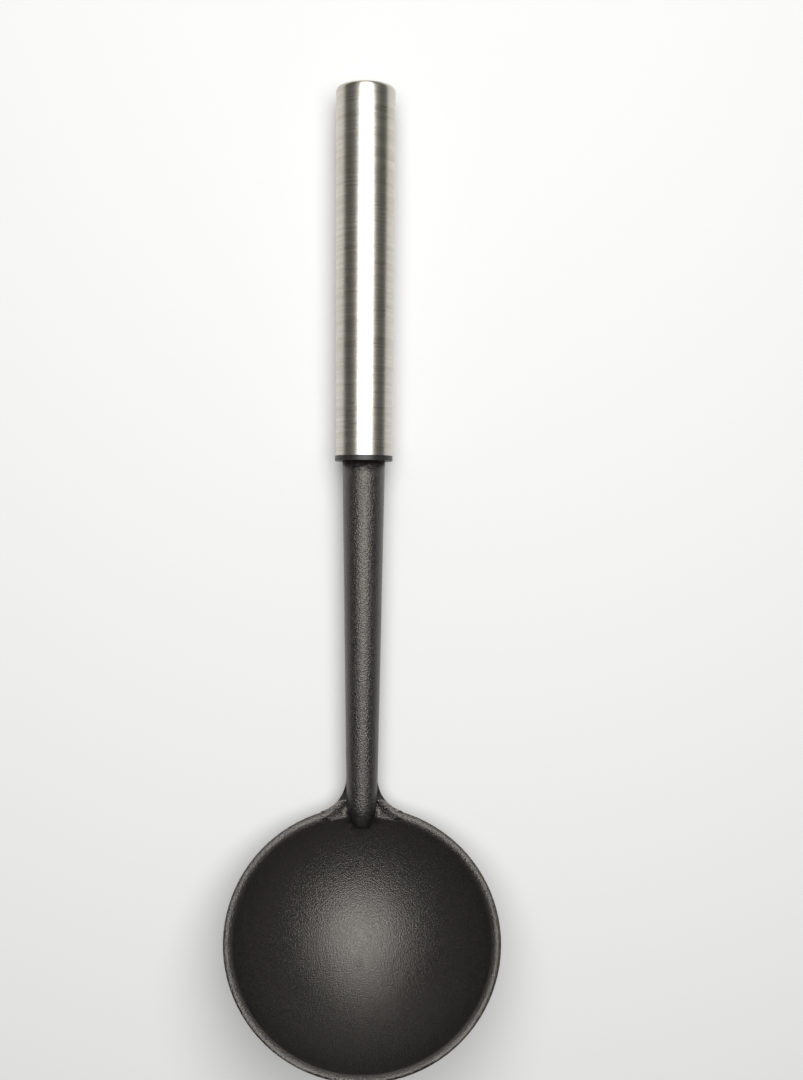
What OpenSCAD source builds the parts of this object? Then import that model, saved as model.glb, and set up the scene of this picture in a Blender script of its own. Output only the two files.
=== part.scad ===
// Soup ladle with a one-piece nylon bowl and stem and a tapered steel handle sleeve.
// It lies as it does on a table: the bowl stands on a small flat and the handle's end touches down.
// The origin is the middle of that flat, +Y runs towards the handle's end and +Z is up.

/* [Bowl] */
// Inner radius of the bowl at its rim
bowl_inner_r = 44.8; // [38:0.1:56]
// Depth of the bowl's inside below the rim
bowl_depth = 33; // [26:0.5:38]
// Thickness of the bowl's wall
bowl_wall = 2.4; // [1.6:0.1:3.4]
// Radius that rounds the rim's outer edge
rim_round = 0.9; // [0.3:0.1:1.2]
// Angle between the rim's plane and the handle
bowl_tilt = 33; // [24:1:40]
// Depth of the flat on the underside that the bowl lies on
rest_flat_depth = 0.4; // [0.2:0.05:0.8]

/* [Neck and stem] */
// Length of the stem from the collar to the rim's outer edge at the neck
stem_len = 123; // [80:1:170]
// Radius of the stem under the collar
stem_top_r = 7.6; // [6.8:0.1:8.6]
// Radius of the stem where it meets the bowl
stem_neck_r = 5.5; // [4.6:0.1:6.4]
// Height of the rim above the stem's axis at the neck
neck_rise = 1.2; // [0:0.1:2.5]
// How far the stem's rounded tongue reaches into the bowl
tongue_len = 8.4; // [6.5:0.1:11]
// Length of the tongue's rounded end
tongue_round = 10; // [8:0.1:12]
// Radius of the fillets between the rim and the stem
web_fillet_r = 13; // [8:0.1:15]
// Thickness of the web that the fillets form
web_thick = 4.6; // [4:0.1:6]
// Height of the web's top beside the stem, measured from the stem's axis
web_level = -1.2; // [-2:0.1:0]
// Radius of the bend from the rim's plane to the stem
web_bend_r = 18; // [12:1:24]
// Width of the land that the rim keeps along the fillets
web_land = 2.4; // [2:0.1:3]
// Depth of the hollow beside the tongue
web_hollow = 2.2; // [1.6:0.1:2.6]

/* [Handle] */
// Length of the steel sleeve
sleeve_len = 131; // [110:1:170]
// Radius of the sleeve at the collar
sleeve_collar_r = 10; // [9.6:0.05:11]
// Radius of the sleeve at its closed end
sleeve_end_r = 10.65; // [10.2:0.05:12]
// Thickness of the sleeve's steel
sleeve_wall = 0.8; // [0.5:0.05:1]
// Radius that rounds the sleeve's closed end
end_round = 1.6; // [1.2:0.1:2.4]
// Thickness of the collar ring
collar_thick = 1.8; // [1.2:0.1:3]
// How far the collar ring stands proud of the sleeve
collar_proud = 0.3; // [0.1:0.05:0.6]

/* [Inside the handle] */
// Radius of the stem's tang
tang_r = 5; // [4:0.1:6]
// Length of the tang from the stem's shoulder
tang_len = 48; // [44:1:60]
// Length of the bush round the tang
bush_len = 38; // [24:1:40]
// Clearance of the tang in the collar, bush and retainer
tang_clear = 0.06; // [0.03:0.01:0.1]
// Clearance of the bush and plug in the sleeve
sleeve_fit = 0.1; // [0.05:0.01:0.2]
// Outer radius of the push-on retainer
retainer_r = 8; // [7:0.1:8.6]
// Thickness of the push-on retainer
retainer_thick = 0.6; // [0.4:0.1:1]
// Length of the plug in the closed end
plug_len = 26; // [22:1:40]

/* [Hanging hole] */
// Radius of the hanging hole in the back of the handle
hang_r = 3.5; // [2.5:0.1:4]
// Wall of the eyelet round the hanging hole
eyelet_wall = 1.4; // [1:0.1:2]
// Depth of the hanging hole from the back of the sleeve
hang_depth = 9; // [7:0.1:11]
// Thickness of the eyelet's floor
eyelet_floor = 1.4; // [1:0.1:2]
// Distance of the hanging hole's middle from the handle's end
hang_inset = 14; // [12:0.5:18]
// Clearance of the eyelet in the sleeve and plug
eyelet_clear = 0.08; // [0.04:0.01:0.15]

/* [Hidden] */
$fn = 96;

// Steps along a rounded edge or a fillet
arc_steps = 10;
// Reach of a cutting block beyond what it cuts
over = 1;

// Bowl: two spheres on one centre, cut off at the rim
ball_inner_r = (bowl_inner_r * bowl_inner_r + bowl_depth * bowl_depth) / (2 * bowl_depth);
ball_outer_r = ball_inner_r + bowl_wall;
rim_height = ball_inner_r - bowl_depth;
rim_outer_r = sqrt(ball_outer_r * ball_outer_r - rim_height * rim_height);

// The handle's axis is +Y from the stem's shoulder, and the bowl's centre is placed from the neck
neck_y = -stem_len;
rim_centre_y = neck_y - rim_outer_r * cos(bowl_tilt);
rim_centre_z = neck_rise + rim_outer_r * sin(bowl_tilt);
ball_y = rim_centre_y + rim_height * sin(bowl_tilt);
ball_z = rim_centre_z + rim_height * cos(bowl_tilt);

sleeve_y = collar_thick;
handle_end_y = sleeve_y + sleeve_len;
bush_y = sleeve_y;
retainer_y = bush_y + bush_len;
plug_end_y = handle_end_y - sleeve_wall;
plug_y = plug_end_y - plug_len;
plug_r = sleeve_collar_r - sleeve_wall - sleeve_fit;
hang_y = handle_end_y - hang_inset;
eyelet_r = hang_r + eyelet_wall;

// Angle of the table's plane below the handle's axis, from the two rounds that touch it
edge_y = handle_end_y - end_round;
edge_z = end_round - sleeve_end_r;
rest_r = ball_outer_r - rest_flat_depth;
span = norm([edge_y - ball_y, edge_z - ball_z]);
lie_angle = atan2(edge_z - ball_z, edge_y - ball_y) - asin((end_round - rest_r) / span);

function sleeve_r(y) =
    sleeve_collar_r + (sleeve_end_r - sleeve_collar_r) * (y - sleeve_y) / sleeve_len;
function stem_r(y) = stem_top_r + (stem_neck_r - stem_top_r) * y / neck_y;
function arc(cx, cy, r, from, to, steps) =
    [for (i = [0:steps]) let (a = from + (to - from) * i / steps) [cx + r * cos(a), cy + r * sin(a)]];

// Puts the handle's frame on the table
module placed() {
    translate([0, 0, rest_r]) rotate([-lie_angle, 0, 0]) translate([0, -ball_y, -ball_z])
        children();
}

// Turns a shape about Z into one about the handle's axis
module along_handle(y = 0) {
    translate([0, y, 0]) rotate([-90, 0, 0]) children();
}

module in_bowl_frame() {
    translate([0, ball_y, ball_z]) rotate([-bowl_tilt, 0, 0]) children();
}

module bowl_shell() {
    size = 2 * ball_outer_r + 2 * over;
    in_bowl_frame() difference() {
        sphere(ball_outer_r);
        sphere(ball_inner_r);
        translate([-size / 2, -size / 2, -rim_height]) cube(size);
        rotate_extrude() difference() {
            translate([rim_outer_r - rim_round, -rim_height - rim_round])
                square([rim_round + over, rim_round + over]);
            translate([rim_outer_r - rim_round, -rim_height - rim_round]) circle(rim_round);
        }
    }
}

module rest_flat_cut() {
    block = 4 * rest_r;
    translate([0, ball_y, ball_z]) rotate([lie_angle, 0, 0])
        translate([-block / 2, -block / 2, -rest_r - block]) cube(block);
}

// Stem with its rounded tongue, shoulder and tang
module stem_rod() {
    tongue_y = stem_len + tongue_len;
    ball_from = tongue_y - tongue_round;
    neck_end_r = stem_r(-ball_from);
    tongue = [for (i = [0:arc_steps]) let (a = 90 * i / arc_steps)
        [neck_end_r * cos(a), -ball_from - tongue_round * sin(a)]];
    along_handle() rotate_extrude() polygon(concat(
        [[0, tang_len], [tang_r, tang_len], [tang_r, 0], [stem_top_r, 0]], tongue));
}

// Plan of the web in the rim's plane, between two fillets that run from the rim to the stem
module web_plan(inset) {
    r = web_fillet_r + inset;
    centre_x = stem_neck_r + web_fillet_r;
    side_y = sqrt(pow(rim_outer_r + web_fillet_r, 2) - centre_x * centre_x);
    join = atan2(side_y, centre_x);
    right = arc(centre_x, side_y, r, 180, 180 + join, arc_steps);
    left = [for (i = [len(right) - 1:-1:0]) [-right[i][0], right[i][1]]];
    polygon(concat(right, left));
}

// Side view of the web, lowered by drop: level beside the stem, then bent down into the rim's plane
module web_side(drop, thick) {
    level = web_level - drop;
    corner_y = neck_y + (neck_rise - drop / cos(bowl_tilt) - level) / tan(bowl_tilt);
    tangent = web_bend_r * tan(bowl_tilt / 2);
    bend = arc(corner_y + tangent, level + web_bend_r, web_bend_r, 270, 270 - bowl_tilt, arc_steps);
    reach = 2 * rim_outer_r;
    far = [corner_y - reach * cos(bowl_tilt), level + reach * sin(bowl_tilt)];
    top = concat([[corner_y + reach, level]], bend, [far]);
    base = [for (i = [len(top) - 1:-1:0]) top[i] - [0, thick]];
    polygon(concat(top, base));
}

// Curved sheet that follows the side view, with the web's plan cut square to the rim
module web_sheet(inset, drop, thick) {
    wide = 4 * rim_outer_r;
    tall = 2 * rim_outer_r;
    intersection() {
        rotate([90, 0, 90]) translate([0, 0, -wide / 2])
            linear_extrude(wide) web_side(drop, thick);
        in_bowl_frame() translate([0, 0, -tall / 2 - rim_height])
            linear_extrude(tall) web_plan(inset);
    }
}

// Bowl with the web at its neck, hollowed beside the tongue so that the rim's land runs on to the stem
module bowl_with_web() {
    difference() {
        union() {
            bowl_shell();
            web_sheet(0, 0, web_thick);
        }
        web_sheet(web_land, web_hollow, -web_thick);
        in_bowl_frame() sphere(ball_inner_r);
    }
}

module bowl_and_stem() {
    color("#2b2926") placed() difference() {
        union() {
            bowl_with_web();
            stem_rod();
        }
        rest_flat_cut();
    }
}

module collar_ring() {
    ring_r = sleeve_collar_r + collar_proud;
    color("#1d1c1a") placed() along_handle() difference() {
        cylinder(r = ring_r, h = collar_thick);
        translate([0, 0, -over]) cylinder(r = tang_r + tang_clear, h = collar_thick + 2 * over);
    }
}

// Hole for the eyelet, drilled from the back of the handle
module hang_drill(r, depth, reach = over) {
    back = -sleeve_r(hang_y);
    translate([0, hang_y, back - reach]) cylinder(r = r, h = depth + reach);
}

module steel_sleeve() {
    inner_round = end_round - sleeve_wall;
    inner_end_r = sleeve_end_r - sleeve_wall;
    inner_end_y = handle_end_y - sleeve_wall;
    outer = arc(sleeve_end_r - end_round, handle_end_y - end_round, end_round, 0, 90, arc_steps);
    inner = arc(inner_end_r - inner_round, inner_end_y - inner_round, inner_round, 90, 0, arc_steps);
    color("#b9b4aa") placed() difference() {
        along_handle() rotate_extrude() polygon(concat(
            [[sleeve_collar_r - sleeve_wall, sleeve_y], [sleeve_collar_r, sleeve_y]],
            outer, [[0, handle_end_y], [0, inner_end_y]], inner));
        hang_drill(eyelet_r + eyelet_clear, sleeve_end_r);
    }
}

module tang_bush() {
    far_y = bush_y + bush_len;
    slack = sleeve_wall + sleeve_fit;
    color("#3a3936") placed() along_handle(bush_y) difference() {
        cylinder(r1 = sleeve_r(bush_y) - slack, r2 = sleeve_r(far_y) - slack, h = bush_len);
        translate([0, 0, -over]) cylinder(r = tang_r + tang_clear, h = bush_len + 2 * over);
    }
}

module tang_retainer() {
    color("#9a968d") placed() along_handle(retainer_y) difference() {
        cylinder(r = retainer_r, h = retainer_thick);
        translate([0, 0, -over]) cylinder(r = tang_r + tang_clear, h = retainer_thick + 2 * over);
    }
}

module tail_plug() {
    color("#3a3936") placed() difference() {
        along_handle(plug_y) cylinder(r = plug_r, h = plug_len);
        hang_drill(eyelet_r + eyelet_clear, hang_depth + eyelet_floor);
    }
}

module hang_eyelet() {
    back = sleeve_r(hang_y);
    color("#1d1c1a") placed() intersection() {
        difference() {
            hang_drill(eyelet_r, hang_depth + eyelet_floor);
            hang_drill(hang_r, hang_depth, 2 * over);
        }
        along_handle(sleeve_y) cylinder(r1 = sleeve_collar_r, r2 = sleeve_end_r, h = sleeve_len);
    }
}

bowl_and_stem();
collar_ring();
steel_sleeve();
tang_bush();
tang_retainer();
tail_plug();
hang_eyelet();
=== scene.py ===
"""Soup ladle: a grained black nylon bowl and stem with a brushed steel handle, lying on a pale table."""
import math

import bpy
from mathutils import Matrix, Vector


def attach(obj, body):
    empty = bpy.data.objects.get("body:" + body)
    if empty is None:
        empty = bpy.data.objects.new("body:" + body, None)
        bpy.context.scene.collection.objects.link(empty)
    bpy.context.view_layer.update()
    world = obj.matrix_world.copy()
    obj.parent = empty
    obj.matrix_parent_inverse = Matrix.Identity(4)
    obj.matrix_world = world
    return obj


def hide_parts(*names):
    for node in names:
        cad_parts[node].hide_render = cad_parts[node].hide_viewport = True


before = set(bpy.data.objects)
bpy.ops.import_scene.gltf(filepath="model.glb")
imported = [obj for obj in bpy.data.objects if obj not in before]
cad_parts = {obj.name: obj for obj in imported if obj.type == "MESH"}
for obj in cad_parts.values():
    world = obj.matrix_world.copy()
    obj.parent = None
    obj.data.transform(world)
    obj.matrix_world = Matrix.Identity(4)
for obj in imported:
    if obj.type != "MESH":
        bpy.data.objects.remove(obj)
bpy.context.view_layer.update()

# Camera, in metres and degrees, as the photograph was taken from above the table
CAMERA_PLACE = (-0.01026, 0.13085, 0.51106)
CAMERA_TURN = (-0.454, -2.735, 0.342)
FOCAL_PX = 1400.0
PHOTO_H_PX = 1080.0
SENSOR = 36.0
NEAREST_SEEN = 0.01

# Lamps: name, place, what it points at, width and power in watts; then the room's fill
LAMPS = (
    ("soft_lamp", (0.03, 0.27, 0.80), (0.0, 0.10, 0.0), 0.88, 8.8),
    ("far_lamp", (0.0, 0.95, 0.56), (0.0, 0.02, 0.02), 0.60, 2.6),
)
FILL = (0.07, 0.07, 0.068)

# Table top: width, colour, roughness and strength of its reflection
TABLE_SIZE = 6.0
TABLE_COLOUR = (0.74, 0.74, 0.73, 1)
TABLE_ROUGHNESS = 0.9
TABLE_SHEEN = 0.1

# Meshes: points closer than the first are merged, and edges past the second angle stay sharp
MERGE_WITHIN = 1e-6
SHARP_ANGLE = 32.0

# Nylon of the bowl and stem: grain of the mould, broad change in its sheen, colours and reflection
NYLON_GRAIN = {"scale": 2300.0, "low": 0.36, "high": 0.72, "detail": 1.0}
NYLON_BROAD = {"scale": 90.0, "low": 0.3, "high": 0.7}
NYLON_DARK = (0.003, 0.0027, 0.0024)
NYLON_LIGHT = (0.026, 0.0235, 0.021)
NYLON_ROUGHNESS = (0.30, 0.35)
NYLON_DEPTH = 0.00009
NYLON_GLOSS = 1.0
NYLON_SHEEN = (1.0, 0.95, 0.88, 1)

# Smooth plastic of the collar and the eyelet
COLLAR_GRAIN = {"scale": 1500.0}
COLLAR_DARK = (0.010, 0.0095, 0.009)
COLLAR_LIGHT = (0.02, 0.019, 0.018)
COLLAR_ROUGHNESS = (0.36, 0.46)

# Steel of the sleeve: brushing lines and broader bands, both drawn out round the handle
STEEL_LINES = {"scale": 1.0, "stretch": (55, 5200, 55), "low": 0.25, "high": 0.75, "detail": 3.0}
STEEL_BANDS = {"scale": 1.0, "stretch": (25, 900, 25), "low": 0.3, "high": 0.7}
STEEL_DARK = (0.52, 0.487, 0.43)
STEEL_LIGHT = (0.64, 0.605, 0.545)
STEEL_ROUGHNESS = (0.24, 0.38)
STEEL_DEPTH = 0.000012

# Pieces inside the handle: colours, and how dark their grain goes beside them
PLASTIC_COLOUR = (0.08, 0.08, 0.078)
WASHER_COLOUR = (0.45, 0.44, 0.42)
INNER_GRAIN = {"scale": 900.0}
INNER_DARKER = 0.85
INNER_ROUGHNESS = (0.4, 0.55)


def add_camera():
    data = bpy.data.cameras.new("camera")
    data.sensor_width = SENSOR
    data.lens = FOCAL_PX / PHOTO_H_PX * SENSOR
    data.clip_start = NEAREST_SEEN
    camera = bpy.data.objects.new("camera", data)
    camera.location = CAMERA_PLACE
    camera.rotation_euler = [math.radians(a) for a in CAMERA_TURN]
    bpy.context.scene.collection.objects.link(camera)
    bpy.context.scene.camera = camera


def add_lamp(name, place, target, width, power):
    data = bpy.data.lights.new(name, "AREA")
    data.shape = "DISK"
    data.size = width
    data.energy = power
    lamp = bpy.data.objects.new(name, data)
    lamp.location = place
    lamp.rotation_euler = (Vector(target) - Vector(place)).to_track_quat("-Z", "Y").to_euler()
    bpy.context.scene.collection.objects.link(lamp)


def add_light():
    for lamp in LAMPS:
        add_lamp(*lamp)
    world = bpy.data.worlds.new("room")
    world.use_nodes = True
    world.node_tree.nodes["Background"].inputs["Color"].default_value = (*FILL, 1)
    bpy.context.scene.world = world


def add_table():
    mesh = bpy.data.meshes.new("table_top")
    half = TABLE_SIZE / 2
    corners = [(-half, -half, 0), (half, -half, 0), (half, half, 0), (-half, half, 0)]
    mesh.from_pydata(corners, [], [(0, 1, 2, 3)])
    table = bpy.data.objects.new("table_top", mesh)
    bpy.context.scene.collection.objects.link(table)
    material, shader = new_material("pale_table")
    shader.inputs["Base Color"].default_value = TABLE_COLOUR
    shader.inputs["Roughness"].default_value = TABLE_ROUGHNESS
    shader.inputs["Specular IOR Level"].default_value = TABLE_SHEEN
    mesh.materials.append(material)


def new_material(name):
    material = bpy.data.materials.new(name)
    material.use_nodes = True
    return material, material.node_tree.nodes["Principled BSDF"]


def grain_group():
    """Noise on Object coordinates, stretched by Stretch, as a mask with its own low and high ends."""
    group = bpy.data.node_groups.new("surface_grain", "ShaderNodeTree")
    stretch = group.interface.new_socket("Stretch", in_out="INPUT", socket_type="NodeSocketVector")
    stretch.default_value = (1, 1, 1)
    for name in ("Scale", "Low", "High", "Detail"):
        group.interface.new_socket(name, in_out="INPUT", socket_type="NodeSocketFloat")
    group.interface.new_socket("Mask", in_out="OUTPUT", socket_type="NodeSocketFloat")
    make, join = group.nodes.new, group.links.new
    entry, leave = make("NodeGroupInput"), make("NodeGroupOutput")
    place, spread = make("ShaderNodeTexCoord"), make("ShaderNodeVectorMath")
    noise, levels = make("ShaderNodeTexNoise"), make("ShaderNodeMapRange")
    spread.operation = "MULTIPLY"
    join(place.outputs["Object"], spread.inputs[0])
    join(entry.outputs["Stretch"], spread.inputs[1])
    join(spread.outputs[0], noise.inputs["Vector"])
    join(entry.outputs["Scale"], noise.inputs["Scale"])
    join(entry.outputs["Detail"], noise.inputs["Detail"])
    join(noise.outputs["Fac"], levels.inputs["Value"])
    join(entry.outputs["Low"], levels.inputs["From Min"])
    join(entry.outputs["High"], levels.inputs["From Max"])
    join(levels.outputs["Result"], leave.inputs["Mask"])
    return group


GRAIN = grain_group()


def grain(material, scale, stretch=(1, 1, 1), low=0.35, high=0.65, detail=2.0):
    node = material.node_tree.nodes.new("ShaderNodeGroup")
    node.node_tree = GRAIN
    node.inputs["Stretch"].default_value = stretch
    for name, value in (("Scale", scale), ("Low", low), ("High", high), ("Detail", detail)):
        node.inputs[name].default_value = value
    return node.outputs["Mask"]


def colour_between(material, mask, dark, light, target):
    mix = material.node_tree.nodes.new("ShaderNodeMix")
    mix.data_type = "RGBA"
    mix.inputs["A"].default_value = (*dark, 1)
    mix.inputs["B"].default_value = (*light, 1)
    material.node_tree.links.new(mask, mix.inputs["Factor"])
    material.node_tree.links.new(mix.outputs["Result"], target)


def value_between(material, mask, ends, target):
    levels = material.node_tree.nodes.new("ShaderNodeMapRange")
    levels.inputs["To Min"].default_value = ends[0]
    levels.inputs["To Max"].default_value = ends[1]
    material.node_tree.links.new(mask, levels.inputs["Value"])
    material.node_tree.links.new(levels.outputs["Result"], target)


def add_bump(material, shader, mask, depth):
    bump = material.node_tree.nodes.new("ShaderNodeBump")
    bump.inputs["Distance"].default_value = depth
    bump.inputs["Strength"].default_value = 1.0
    material.node_tree.links.new(mask, bump.inputs["Height"])
    material.node_tree.links.new(bump.outputs["Normal"], shader.inputs["Normal"])


def grained_nylon():
    """Warm black nylon with the grain of its mould and a slightly uneven sheen."""
    material, shader = new_material("grained_nylon")
    fine = grain(material, **NYLON_GRAIN)
    broad = grain(material, **NYLON_BROAD)
    shader.inputs["Specular IOR Level"].default_value = NYLON_GLOSS
    shader.inputs["Specular Tint"].default_value = NYLON_SHEEN
    colour_between(material, fine, NYLON_DARK, NYLON_LIGHT, shader.inputs["Base Color"])
    value_between(material, broad, NYLON_ROUGHNESS, shader.inputs["Roughness"])
    add_bump(material, shader, fine, NYLON_DEPTH)
    return material


def smooth_collar():
    material, shader = new_material("smooth_collar")
    fine = grain(material, **COLLAR_GRAIN)
    colour_between(material, fine, COLLAR_DARK, COLLAR_LIGHT, shader.inputs["Base Color"])
    value_between(material, fine, COLLAR_ROUGHNESS, shader.inputs["Roughness"])
    return material


def brushed_steel():
    """Stainless steel brushed round the handle: fine lines across its length."""
    material, shader = new_material("brushed_steel")
    shader.inputs["Metallic"].default_value = 1.0
    lines = grain(material, **STEEL_LINES)
    bands = grain(material, **STEEL_BANDS)
    colour_between(material, bands, STEEL_DARK, STEEL_LIGHT, shader.inputs["Base Color"])
    value_between(material, lines, STEEL_ROUGHNESS, shader.inputs["Roughness"])
    add_bump(material, shader, lines, STEEL_DEPTH)
    return material


def plain_inner(name, colour, metallic=0.0):
    material, shader = new_material(name)
    fine = grain(material, **INNER_GRAIN)
    darker = [INNER_DARKER * c for c in colour]
    shader.inputs["Metallic"].default_value = metallic
    colour_between(material, fine, darker, colour, shader.inputs["Base Color"])
    value_between(material, fine, INNER_ROUGHNESS, shader.inputs["Roughness"])
    return material


def finished_mesh(node, name):
    """A merged, smooth-shaded copy of a CAD node's mesh."""
    piece = bpy.data.objects.new(name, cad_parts[node].data.copy())
    bpy.context.scene.collection.objects.link(piece)
    weld = piece.modifiers.new("weld", "WELD")
    weld.merge_threshold = MERGE_WITHIN
    bpy.context.view_layer.update()
    evaluated = piece.evaluated_get(bpy.context.evaluated_depsgraph_get())
    mesh = bpy.data.meshes.new_from_object(evaluated)
    piece.modifiers.clear()
    piece.data = mesh
    mesh.shade_smooth()
    mesh.set_sharp_from_angle(angle=math.radians(SHARP_ANGLE))
    return piece


def dress(node, name, material):
    piece = finished_mesh(node, name)
    piece.data.materials.clear()
    piece.data.materials.append(material)
    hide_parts(node)
    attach(piece, "root")


def main():
    bpy.context.scene.view_settings.view_transform = "Standard"
    add_camera()
    add_light()
    add_table()
    collar = smooth_collar()
    inner = plain_inner("inner_plastic", PLASTIC_COLOUR)
    washer = plain_inner("washer_steel", WASHER_COLOUR, metallic=1.0)
    dress("bowl_and_stem", "moulded_bowl_and_stem", grained_nylon())
    dress("collar_ring", "black_collar", collar)
    dress("steel_sleeve", "brushed_sleeve", brushed_steel())
    dress("hang_eyelet", "hanging_eyelet", collar)
    for node, material in (("tang_bush", inner), ("tail_plug", inner), ("tang_retainer", washer)):
        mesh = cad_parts[node].data
        mesh.materials.clear()
        mesh.materials.append(material)


main()
